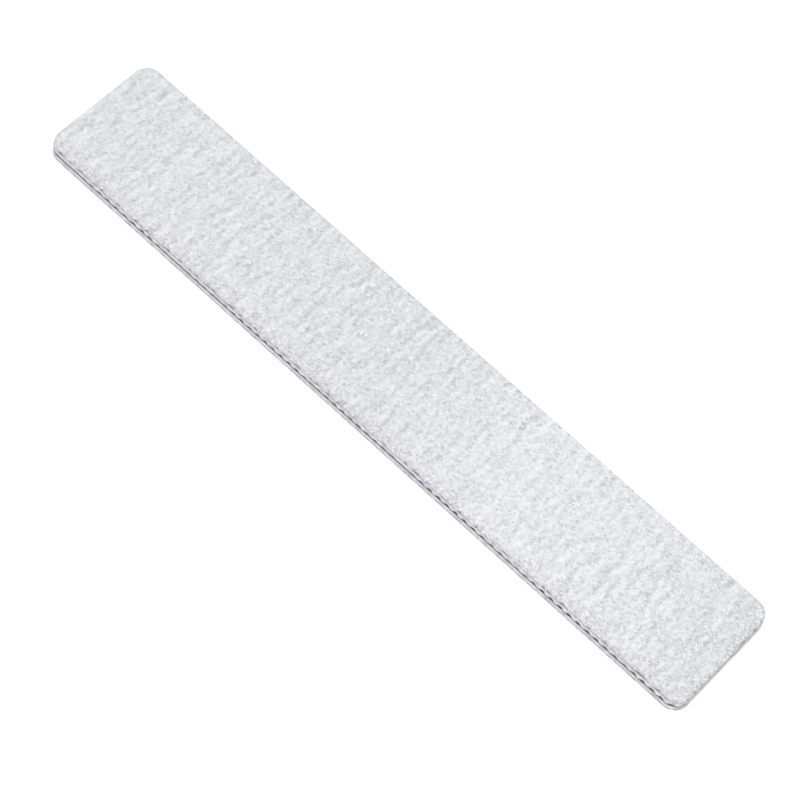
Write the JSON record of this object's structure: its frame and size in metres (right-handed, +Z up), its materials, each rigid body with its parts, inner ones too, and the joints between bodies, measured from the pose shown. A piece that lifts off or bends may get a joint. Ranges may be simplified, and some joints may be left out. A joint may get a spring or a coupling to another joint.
{
  "type": "emery board",
  "caption": "Flat rectangular padded nail file with rounded corners: rippled abrasive paper on both faces over foam and a stiff core.",
  "frame": {"origin": "centre of the underside, the fine face that the board lies on", "axes": "+X along the board, +Y across its width, +Z up through the layers to the coarse face"},
  "size_m": [0.178, 0.03, 0.004],
  "materials": {
    "coarse_grit": "pale grey abrasive grains in resin, rippled across the width, matt and rough, coarse",
    "fine_grit": "pale grey abrasive grains in resin, rippled across the width, matt and rough, fine",
    "backing_paper": "grey latex-filled paper, matt, with a slightly fibrous cut edge",
    "adhesive": "thin translucent acrylic film, satin where it shows at the cut edge",
    "foam": "pale closed-cell foam, matt, with fine cut cells at the edge",
    "core_plastic": "dark grey plastic strip, satin at the cut edge"
  },
  "bodies": {
    "root": {"bottom_grit": "fine_grit", "bottom_paper": "backing_paper", "bottom_paper_film": "adhesive", "bottom_foam": "foam", "bottom_core_film": "adhesive", "core": "core_plastic", "top_core_film": "adhesive", "top_foam": "foam", "top_paper_film": "adhesive", "top_paper": "backing_paper", "top_grit": "coarse_grit"}
  },
  "joints": []
}
